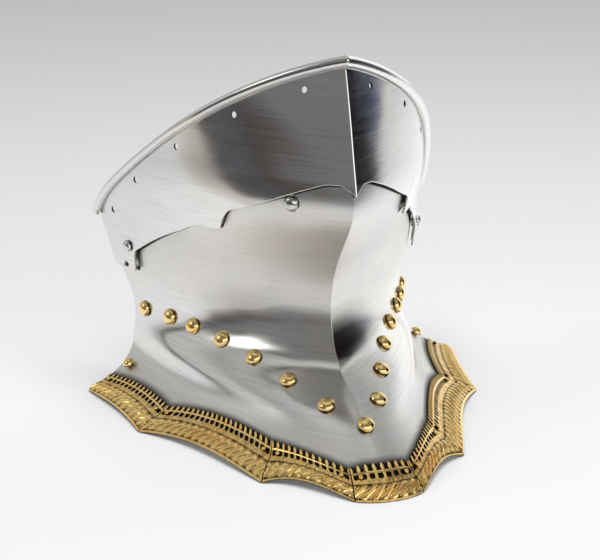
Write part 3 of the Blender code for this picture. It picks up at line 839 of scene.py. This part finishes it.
def press_sheet(low, high):
    """The pressed part of one segment: its points, faces and relief."""
    u = np.linspace(low, high, max(3, round((high - low) * SIDE_LENGTH / PRESSED_STEP)))
    rows = np.linspace(0.0, BAND_TOP, PRESSED_ROWS)
    back = np.linspace(BAND_TOP, 0.0, BACK_ROWS)
    rise = relief(u[:, None] * SIDE_LENGTH, rows[None, :])
    z = border_height(u[:, None], np.concatenate([rows, back])[None, :])
    lift = np.full(z.shape, BRASS_UNDER)
    lift[:, :PRESSED_ROWS] = BRASS_FACE + rise
    # Shine, read by the brass: painted shade in the recesses and on the sheet's back, and light on the raised
    # rope and the flat band, partly the wear of polishing.
    shine = np.zeros(z.shape)
    shine[:, :PRESSED_ROWS] = rise / ROPE_RISE + 0.12
    flat = np.flatnonzero((rows > ROPE_HIGH + 0.03) | (rows < ROPE_LOW))
    shine[:, flat] += 0.3
    return skin(u[:, None], z, lift).reshape(-1, 3), capped_faces(*z.shape), shine.ravel()


def cell_template():
    """One pierced cell as a flat mesh: points (x, v), with x from 0 to 1 along the pitch, and its faces.

    A half tooth stands at each side, a hole that is flat and a little notched on top lies between, and a rail
    runs over it.
    """
    angles = [2 * math.pi * k / CELL_SIDES for k in range(CELL_SIDES)]
    points, faces = [], []

    def add_face(corners):
        faces.append(tuple(range(len(points), len(points) + len(corners))))
        points.extend(corners)

    for a in angles:
        reach = max(abs(math.cos(a)), abs(math.sin(a)))
        x, y = math.cos(a) / reach, math.sin(a) / reach
        points.append((0.5 + x / 2, (PIERCED_LOW + RAIL_LOW) / 2 + y * (RAIL_LOW - PIERCED_LOW) / 2))
    for a in angles:
        c, s = math.cos(a), math.sin(a)
        x = HOLE_HALF * math.copysign(abs(c) ** 0.8, c)
        top = HOLE_RISE * abs(s) ** 0.5 - HOLE_NOTCH * math.exp(-((x / 0.07) ** 2))
        points.append((0.5 + x, HOLE_MIDDLE + (top if s > 0 else -HOLE_RISE * abs(s))))
    for k in range(CELL_SIDES):
        n = (k + 1) % CELL_SIDES
        faces.append((k, n, CELL_SIDES + n, CELL_SIDES + k))
    rail = [points[k][0] for k in range(CELL_SIDES // 8, 3 * CELL_SIDES // 8 + 1)][::-1]
    for low, high in ((RAIL_LOW, RAIL_MIDDLE), (RAIL_MIDDLE, RAIL_HIGH)):
        for a, b in zip(rail, rail[1:]):
            add_face([(a, low), (b, low), (b, high), (a, high)])
    widths = (rail[1],) + TOOTH_WIDTHS
    levels = [RAIL_HIGH + (1 - RAIL_HIGH) * i / (len(widths) - 1) for i in range(len(widths))]
    for side in (0, 1):
        for (w0, v0), (w1, v1) in zip(zip(widths, levels), zip(widths[1:], levels[1:])):
            for a, b in ((0.0, 0.5), (0.5, 1.0)):
                corners = [(a * w0, v0), (b * w0, v0), (b * w1, v1), (a * w1, v1)]
                add_face([(1 - x, v) for x, v in reversed(corners)] if side else corners)
    return points, faces


def row_of_cells(cells):
    """So many cells side by side, sharing points: each point's share of the length and v, and the faces."""
    template, template_faces = cell_template()
    index, faces = {}, []
    for cell in range(cells):
        places = [(round((cell + x) / cells, 6), round(v, 6)) for x, v in template]
        numbers = [index.setdefault(place, len(index)) for place in places]
        for face in template_faces:
            corners = tuple(dict.fromkeys(numbers[i] for i in face))
            if len(corners) > 2:
                faces.append(corners)
    return *np.array(list(index)).T, faces


def pierced_sheet(name, low, high):
    """The pierced part of one segment, cell after cell, as a thin closed sheet."""
    cells = CELLS[name.split("_")[0]]
    share, v, faces = row_of_cells(cells)
    u = low + (high - low) * share
    z = border_height(u, v)
    along = share * cells
    off_tooth = np.abs(along - np.round(along))
    rail = hump(v, RAIL_MIDDLE, 0.016)
    ridge = np.where(v > RAIL_HIGH, 1 - off_tooth / 0.2, 0)
    top = skin(u, z, BRASS_FACE - BRASS_THINS + RAIL_RISE * rail + TOOTH_RISE * ridge)
    under = skin(u, z, BRASS_UNDER + BRASS_THINS)
    count = len(v)
    edges = dict.fromkeys(edge for face in faces for edge in zip(face, face[1:] + face[:1]))
    walls = [(b, a, a + count, b + count) for a, b in edges if (b, a) not in edges]
    faces = faces + [tuple(i + count for i in reversed(face)) for face in faces] + walls
    # Painted highlights on the rail and the teeth's ridges, and painted shade on the sheet's underside.
    shine = np.concatenate([0.42 + 0.5 * rail + 0.2 * ridge, 0 * v])
    return np.concatenate([top, under]), faces, shine


def make_border():
    """The seven segments of the border, each pressed sheet and pierced edge in one piece."""
    gap = SEAM / SIDE_LENGTH
    for name, low, high in zip(SEGMENTS, SEGMENT_ENDS, SEGMENT_ENDS[1:]):
        points, faces, shine = press_sheet(low + gap, high - gap)
        more_points, more_faces, more_shine = pierced_sheet(name, low + gap, high - gap)
        start = len(points)
        points = np.concatenate([points, more_points])
        faces = faces + [tuple(i + start for i in face) for face in more_faces]
        made = new_piece(
            f"brass_{name}", points, faces, [BORDER_BRASS], "gorget", [f"border_{name}"],
            sharp=55,
        )
        give(made, "relief", np.concatenate([shine, more_shine]))


def pin_places():
    """The (u, z) of each border pin: two at each end of a long segment, and one of a short one."""
    places = []
    for name, low, high in zip(SEGMENTS, SEGMENT_ENDS, SEGMENT_ENDS[1:]):
        levels = PIN_LEVELS if name.startswith(("quarter", "fore")) else PIN_LEVELS[1:]
        for end, sign in ((low, 1), (high, -1)):
            for share in levels:
                u = end + sign * PIN_INSET / SIDE_LENGTH
                places.append((u, float(border_height(u, share))))
    return places


def dome_relief(made, where, low, high):
    """Stores how far up a dome each point is, between the two heights."""
    inverse = where.inverted()
    up = [(inverse @ vertex.co).z / MM for vertex in made.data.vertices]
    # The brass materials read this to paint shade on the low part of each dome and light on its crown.
    give(made, "relief", (np.array(up) - low) / (high - low))


def make_pins():
    radius, height, floor = PIN_HEAD
    profile = dome(radius, height, floor, 5) + [(radius, PIN_FOOT), (0, PIN_FOOT)]
    for number, (u, z) in enumerate(pin_places(), 1):
        where = facing(u, z)
        name, node = f"brass_pin_{number:02d}", f"border_pin_{number:02d}"
        made = turned(name, profile, where, BORDER_BRASS, "gorget", [node], 16)
        dome_relief(made, where, floor - 0.5, floor + height)


# --- Rivets, pivots, catch and lining ---

RIVET_PLACES = (0.09, 0.20, 0.33, 0.475, 0.62, 0.75, 0.915)
RIVET_RADIUS = 5.3
RIVET_HEIGHT = 3.4
RIVET_FLOOR, RIVET_SKIRT = 0.75, 0.2  # the lifts of the dome's foot and of the rim below it
RIVET_TILT = 2.5  # degrees
RIVET_WOBBLE = 0.012  # how far out of round a hammered dome is
KEEL_RIVET_RISE, KEEL_RIVET_SINK = 0.5, 1.2
TOUCH = 0.3  # the gap between pieces that bear on each other
BURR_RADIUS = 3.0
BURR = ((1.0, 0.0), (1.0, 0.4), (0.9, 0.75), (0.55, 1.0), (0.0, 1.05))  # shares of its radius, and depths
LINING_THICK = 2.0
BAND_GAP = 0.9
BAND_END = 0.975
BAND_HALF_AT_KEEL, BAND_HALF, BAND_WIDENS_OVER = 4.5, 8.0, 0.4
BAND_STEP = 0.009
STITCH_LINE, STITCH_DENT = 0.72, 0.12  # share of the band's half width, and how far the thread pulls in
STITCH_PITCH, STITCH_LENGTH, STITCH_RADIUS, STITCH_SINK = 4.2, 2.9, 0.32, 0.45
STITCH_SHAPE = ((0.0, 0.4), (0.2, 1.0), (0.5, 1.05), (0.8, 1.0), (1.0, 0.4))  # shares of length and radius
STITCH_SIDES = 6
PIVOT_RADIUS, PIVOT_HEIGHT = 3.9, 2.2
PIVOT_FLOOR, PIVOT_SKIRT = 1.0, 0.65  # above the falling plate
WASHER = ((0, 0.3), (4.0, 0.3), (4.2, 0.5), (4.2, 1.3), (4.0, 1.5), (0, 1.5))
STRAP_STUD = (0.96, 15)
STRAP_STUD_HEAD = (3.9, 3.2, 2.1)  # radius, height and floor of its dome
STRAP_STUD_NECK = ((3.8, 1.9), (2.2, 1.8), (2.2, 0.2))
STUD_SKIRT = 0.7
SPRING_ROOT = (-0.40, 146.0)
SPRING_REST, SPRING_SINK, SPRING_THICK = 0.6, 2.6, 1.0
SPRING_TAIL, SPRING_TIP = 0.016, 0.03  # steps of u beyond the root and beyond the stud
SPRING_HALF_AT_ROOT, SPRING_HALF_AT_STUD = 7.0, 5.0
SPRING_FLAT, SPRING_SLOPE = 0.15, 1.6  # the share of its length that lies flat, and how fast it then sinks
SPRING_COLUMNS = 40
SPRING_CORNER = 0.012  # the step of u over which its ends round off
SPRING_SECTION = (  # shares of its half width and of its thickness
    (-1, -0.2), (-0.93, 0), (0.93, 0), (1, -0.2), (1, -0.8), (0.93, -1), (-0.93, -1), (-1, -0.8),
)
ROOT_SPREAD = 4.0
ROOT_HEAD = (2.2, 0.8, 0.1)  # radius, height and floor of its dome
ROOT_SHANK, ROOT_BURR_GAP = 1, 1.0
ROOT_BURR = ((2.4, 0.0), (2.4, 0.4), (1.4, 0.75), (0, 0.8))


def riveted(head, foot):
    """The profile of a rivet: its head, then its shank down to a burr hammered over at depth foot."""
    burr = [(BURR_RADIUS * share, foot - depth) for share, depth in BURR]
    return head + [(SHANK, head[-1][1]), (SHANK, foot)] + burr


def make_lining_rivets():
    """The domed rivets that hold the lining band, each a little askew."""
    foot = -PLATE - BAND_GAP - LINING_THICK - TOUCH
    places = mirrored(np.array((0,) + RIVET_PLACES))
    for number, u in enumerate(places, 1):
        rise, sink = (KEEL_RIVET_RISE, KEEL_RIVET_SINK) if u == 0 else (0.0, 0.0)
        head = dome(RIVET_RADIUS, RIVET_HEIGHT, RIVET_FLOOR + rise) + [(RIVET_RADIUS * 0.98, RIVET_SKIRT)]
        where = facing(u, float(rivet_line(u)))
        tilt = Matrix.Rotation(math.radians(RIVET_TILT * math.sin(5 * number)), 4, "X")
        tilt = tilt @ Matrix.Rotation(math.radians(RIVET_TILT * math.cos(3 * number)), 4, "Y")
        name, node = f"dome_rivet_{number:02d}", f"lining_rivet_{number:02d}"
        made = turned(
            name, riveted(head, foot - sink), where @ tilt, RIVET_BRASS, "gorget", [node],
            48, RIVET_WOBBLE,
        )
        dome_relief(made, where, 0.3, 4.0)


def band_half(u):
    """Half the lining band's width, which is narrower at the keel."""
    widening = (BAND_HALF - BAND_HALF_AT_KEEL) * np.minimum(1, np.abs(u) / BAND_WIDENS_OVER)
    return BAND_HALF_AT_KEEL + widening


def make_lining_band():
    """The leather band, its edges rounded and a groove under each line of stitches."""
    u = spaced((-BAND_END, BAND_END), BAND_STEP)
    outside = -PLATE - BAND_GAP
    inside = outside - LINING_THICK
    upper = [(0.9, outside), (1.0, outside - 0.4), (1.0, inside + 0.5), (0.9, inside)]
    upper += [(STITCH_LINE, inside + STITCH_DENT), (0.6, inside)]
    lower = [(-share, lift) for share, lift in reversed(upper)]
    section = lower[-1:] + upper + lower[:-1]
    z = np.stack([rivet_line(u) + band_half(u) * share for share, _ in section], 1)
    lift = np.array([lift for _, lift in section])
    points = skin(u[:, None], z, lift).reshape(-1, 3)
    faces = capped_faces(*z.shape)
    new_piece("leather_band", points, faces, [LEATHER], "gorget", ["lining_band"], sharp=80)


def stitch_faces(base):
    """The faces of one stitch whose points start at number base."""
    sides = range(STITCH_SIDES)
    faces = []
    for k in range(len(STITCH_SHAPE) - 1):
        a, b = base + k * STITCH_SIDES, base + (k + 1) * STITCH_SIDES
        for i in sides:
            j = (i + 1) % STITCH_SIDES
            faces.append((a + i, a + j, b + j, b + i))
    last = base + (len(STITCH_SHAPE) - 1) * STITCH_SIDES
    return faces + [tuple(base + i for i in reversed(sides)), tuple(last + i for i in sides)]


def make_stitches():
    """The two lines of stitches along the inside of the lining band."""
    inside = -PLATE - BAND_GAP - LINING_THICK
    points, faces = [], []
    ring = [(math.cos(a), math.sin(a)) for a in np.linspace(0, 2 * math.pi, STITCH_SIDES, endpoint=False)]
    for side in (-STITCH_LINE, STITCH_LINE):
        for start in np.arange(-BAND_END + 0.01, BAND_END - 0.02, STITCH_PITCH / SIDE_LENGTH):
            faces += stitch_faces(len(points))
            for share, swell in STITCH_SHAPE:
                at = start + share * STITCH_LENGTH / SIDE_LENGTH
                line = rivet_line(at) + band_half(at) * side
                sink = STITCH_SINK * abs(2 * share - 1) ** 3
                for c, s in ring:
                    height = line + c * STITCH_RADIUS * swell
                    points.append(skin(at, height, inside + sink - s * STITCH_RADIUS * swell))
    new_piece("band_stitches", points, faces, [THREAD], "gorget", sharp=80)


def pivot_place(side):
    """The place on the surface that the pivots' line passes through."""
    shares = np.linspace(0.6, 1, 801)
    depth = bare(shares, np.full(801, PIVOT_Z))[:, 1]
    return side * float(shares[np.argmin(np.abs(depth))]), PIVOT_Z


def turn_fitting(name, profile, where, node, body="gorget", segments=40):
    """A turned steel piece that stands for one CAD node."""
    turned(name, profile, where, FITTING, body, [node], segments)


def make_pivots():
    """The rivets that the falling plate turns on, and the washers that hold it clear of the gorget."""
    top = STAND_OFF + PLATE
    head = dome(PIVOT_RADIUS, PIVOT_HEIGHT, top + PIVOT_FLOOR) + [(PIVOT_RADIUS * 0.97, top + PIVOT_SKIRT)]
    for word, side in (("right", -1), ("left", 1)):
        where = facing(*pivot_place(side))
        turn_fitting(f"pivot_dome_{word}", riveted(head, -PLATE - TOUCH), where, f"pivot_rivet_{word}")
        turn_fitting(f"pivot_spacer_{word}", WASHER, where, f"pivot_washer_{word}")


def make_strap_studs():
    """The headed rivets at the rear corners, where a neck strap buttons on."""
    profile = riveted(dome(*STRAP_STUD_HEAD) + list(STRAP_STUD_NECK), -PLATE - 1.0)
    for word, side in (("right", -1), ("left", 1)):
        where = facing(side * STRAP_STUD[0], STRAP_STUD[1])
        name, node = f"strap_button_{word}", f"strap_stud_{word}"
        made = turned(name, profile, where, RIVET_BRASS, "gorget", [node])
        dome_relief(made, where, 0.3, 5.0)


def make_catch_stud():
    """The sprung stud that holds the falling plate up."""
    base = -PLATE - SPRING_SINK + TOUCH
    head = dome(STUD_RADIUS, STUD_HEIGHT - STUD_SKIRT, STUD_SKIRT, 10) + [(STUD_RADIUS, base), (0, base)]
    turn_fitting("stud_dome", head, facing(*STUD), "catch_stud", "catch", 48)


def make_catch_spring():
    """The leaf spring inside the gorget that carries the stud."""
    u = np.linspace(SPRING_ROOT[0] - SPRING_TAIL, STUD[0] + SPRING_TIP, SPRING_COLUMNS)
    share = (u - SPRING_ROOT[0]) / (STUD[0] - SPRING_ROOT[0])
    line = SPRING_ROOT[1] + (STUD[1] - SPRING_ROOT[1]) * share
    ends = np.minimum(1, np.sqrt(np.clip(np.minimum(u - u[0], u[-1] - u) / SPRING_CORNER, 0.02, 1)))
    taper = (SPRING_HALF_AT_ROOT - SPRING_HALF_AT_STUD) * np.clip(share, 0, 1)
    half = (SPRING_HALF_AT_ROOT - taper) * ends
    sunk = np.clip(SPRING_SLOPE * (share - SPRING_FLAT), 0, 1)
    outside = -PLATE - SPRING_REST - (SPRING_SINK - SPRING_REST) * sunk
    z = np.stack([line + half * across for across, _ in SPRING_SECTION], 1)
    lift = np.stack([outside + SPRING_THICK * deep for _, deep in SPRING_SECTION], 1)
    points = skin(u[:, None], z, lift).reshape(-1, 3)
    faces = loop_faces(*z.shape)
    new_piece("leaf_spring", points, faces, [SPRING], "catch", ["catch_spring"])


def make_spring_rivets():
    """The two rivets at the root of the spring."""
    foot = -PLATE - SPRING_REST - SPRING_THICK - ROOT_BURR_GAP
    profile = dome(*ROOT_HEAD, 5) + [(ROOT_SHANK, ROOT_HEAD[-1]), (ROOT_SHANK, foot)]
    profile += [(radius, foot - depth) for radius, depth in ROOT_BURR]
    for number, side in enumerate((-1, 1), 1):
        root = facing(SPRING_ROOT[0], SPRING_ROOT[1] + side * ROOT_SPREAD)
        turn_fitting(f"root_rivet_{number}", profile, root, f"spring_rivet_{number}", segments=24)


# --- The studio ---

CAMERA_PLACE = (-0.30275, -0.98602 + PIVOT_Y * MM, 0.38751)
CAMERA_TURN, CAMERA_TILT = 17.97, 17.39  # degrees to the right of straight ahead, and down
CAMERA_LENS = 96
CAMERA_REACH = 30
KEY_PLACE, KEY_AIM = (0.0, -0.5, 1.6), (0, 0.3, 0)
KEY_SIZE, KEY_POWER = 1.2, 17.5

TENT_LOW, TENT_MIDDLE, TENT_HIGH = (0.62, 0.62, 0.605), (0.43, 0.425, 0.415), (0.70, 0.695, 0.68)

# What the tent shows besides plain cloth, each over the ones before it: degrees across (low, high, blur),
# degrees up (low, high, blur), and the light it sends.
PANELS = (
    ((112, 162, 4), (-90, 24, 8), (1.25, 1.25, 1.24)),  # the lit side on the wearer's left
    ((104, 114, 2), (-90, 42, 8), (0.85, 0.84, 0.82)),
    ((-99, 108, 1.5), (-8, 62, 5), (0.22, 0.215, 0.215)),  # the room, through the tent's open front
    ((-99, 20, 1.5), (-90, 5.5, 2), (0.075, 0.065, 0.06)),
    ((-99, -88, 3), (-90, 5, 2), (0.11, 0.117, 0.14)),
    ((-130, -98, 3), (3, 9, 2), (0.15, 0.15, 0.16)),
    ((60, 107, 1.2), (-90, 30, 3), (0.006, 0.004, 0.004)),
    ((103, 108, 1), (-9, 6, 2), (0.06, 0.08, 0.15)),
    ((-30, 60, 8), (-25, 28, 6), (1.6, 1.6, 1.55)),  # the lamp beside the camera
    ((-101, -85, 4), (22, 41, 4), (2.7, 2.7, 2.6)),  # the soft box
)
BACKDROP = (0.57, 0.565, 0.60)
PAPER_NEAR, PAPER_FAR_SHADED = (0.93, 0.93, 0.945), (0.74, 0.735, 0.775)
PAPER_FADE = 3.3  # metres over which the painted fall-off of light greys the paper, from near to far
KEEL_FOOT = -0.10  # metres: the floor's directions are taken from here

# What the polish sees of the floor: unlit in front beyond a distance, glowing a little to the right and left,
# and warm along one edge. Each is in degrees across (low, high, blur).
UNLIT_FLOOR, UNLIT_ACROSS, UNLIT_FROM = (0.07, 0.062, 0.06), (-103, 106, 2), 0.45
LIT_RIGHT, LIT_LEFT, LIT_GLOW = (107, 150, 3), (-165, -112, 5), (0.32, 0.10)
WARM_FLOOR, WARM_ACROSS = (0.74, 0.69, 0.62), (-112, -101, 3)


def add_camera():
    camera = bpy.data.objects.new("camera", bpy.data.cameras.new("camera"))
    link(camera)
    turn, tilt = math.radians(CAMERA_TURN), math.radians(CAMERA_TILT)
    ahead = Vector((math.sin(turn) * math.cos(tilt), math.cos(turn) * math.cos(tilt), -math.sin(tilt)))
    camera.location = CAMERA_PLACE
    camera.rotation_euler = ahead.to_track_quat("-Z", "Y").to_euler()
    camera.data.lens = CAMERA_LENS
    camera.data.clip_end = CAMERA_REACH
    bpy.context.scene.camera = camera
    bpy.context.scene.view_settings.view_transform = "Standard"


def bearing(n, x, y):
    """The direction of (x, y) in degrees: 0 towards -Y, and 90 towards +X."""
    return n.product(n.math("ARCTAN2", x, n.product(y, -1.0)), 180 / math.pi)


def add_floor():
    """White paper, greyer far away, where the fall-off of light is painted into its colour. Its reflection in
    the plates is dark in front, where the tent is open.
    """
    mesh = bpy.data.meshes.new("floor")
    mesh.from_pydata([(-6, -6, 0), (6, -6, 0), (6, 10, 0), (-6, 10, 0)], [], [(0, 1, 2, 3)])
    n = Nodes(bpy.data.materials.new("paper_floor"))
    place = n.place()
    x, y, _ = n.add("ShaderNodeSeparateXYZ", Vector=place).outputs
    distance = n.add("ShaderNodeVectorMath", operation="LENGTH")
    n.put(distance.inputs[0], place)
    distance = distance.outputs["Value"]
    grain = n.product(n.noise(place, 300.0, 3.0), 0.02)
    fade = n.total(n.math("DIVIDE", distance, PAPER_FADE), grain)
    paper = n.ramp(fade, (0.0, PAPER_NEAR), (1.0, PAPER_FAR_SHADED))
    across = bearing(n, x, n.math("SUBTRACT", y, KEEL_FOOT))
    beyond = n.window(distance, UNLIT_FROM, 20, 0.06)
    mirrored_paper = n.mix(n.window(across, *WARM_ACROSS), paper, WARM_FLOOR)
    unlit = n.product(n.window(across, *UNLIT_ACROSS), beyond)
    mirrored_paper = n.mix(unlit, mirrored_paper, UNLIT_FLOOR)
    mirrored_ray = n.add("ShaderNodeLightPath").outputs["Is Glossy Ray"]
    right = n.product(n.window(across, *LIT_RIGHT), LIT_GLOW[0])
    left = n.product(n.window(across, *LIT_LEFT), LIT_GLOW[1])
    glow = n.product(mirrored_ray, n.total(left, right))
    n.set(Emission_Color=(1, 1, 1), Emission_Strength=glow)
    n.set(Base_Color=n.mix(mirrored_ray, paper, mirrored_paper), Roughness=0.8)
    mesh.materials.append(n.owner)
    floor = bpy.data.objects.new("floor", mesh)
    link(floor)


def add_key_light():
    """The soft lamp overhead. The plates don't mirror it: the world's lamps are what they show."""
    light = bpy.data.lights.new("key", "AREA")
    light.size = KEY_SIZE
    light.energy = KEY_POWER
    lamp = bpy.data.objects.new("key", light)
    lamp.location = KEY_PLACE
    lamp.visible_glossy = False
    lamp.rotation_euler = (Vector(KEY_AIM) - Vector(KEY_PLACE)).to_track_quat("-Z", "Y").to_euler()
    link(lamp)


def add_world():
    """A white tent round the object, with the lamps and the dark room that its polish reflects."""
    n = Nodes(bpy.data.worlds.new("studio"), "Background")
    x, y, z = n.add("ShaderNodeSeparateXYZ", Vector=n.add("ShaderNodeTexCoord").outputs["Generated"]).outputs
    azimuth = bearing(n, x, y)
    elevation = n.product(n.math("ARCSINE", z), 180 / math.pi)
    height = n.math("DIVIDE", elevation, 90.0)
    light = n.ramp(height, (0.36, TENT_LOW), (0.48, TENT_MIDDLE), (0.78, TENT_HIGH))
    for across, up, colour in PANELS:
        cover = n.product(n.window(azimuth, *across), n.window(elevation, *up))
        light = n.mix(cover, light, colour)
    seen = n.add("ShaderNodeLightPath").outputs["Is Camera Ray"]
    n.put(n.shader.inputs["Color"], n.mix(seen, light, BACKDROP))
    bpy.context.scene.world = n.owner


make_gorget()
make_falling_plate()
make_border()
make_pins()
make_lining_rivets()
make_lining_band()
make_stitches()
make_pivots()
make_strap_studs()
make_catch_stud()
make_catch_spring()
make_spring_rivets()

add_camera()
add_floor()
add_world()
add_key_light()
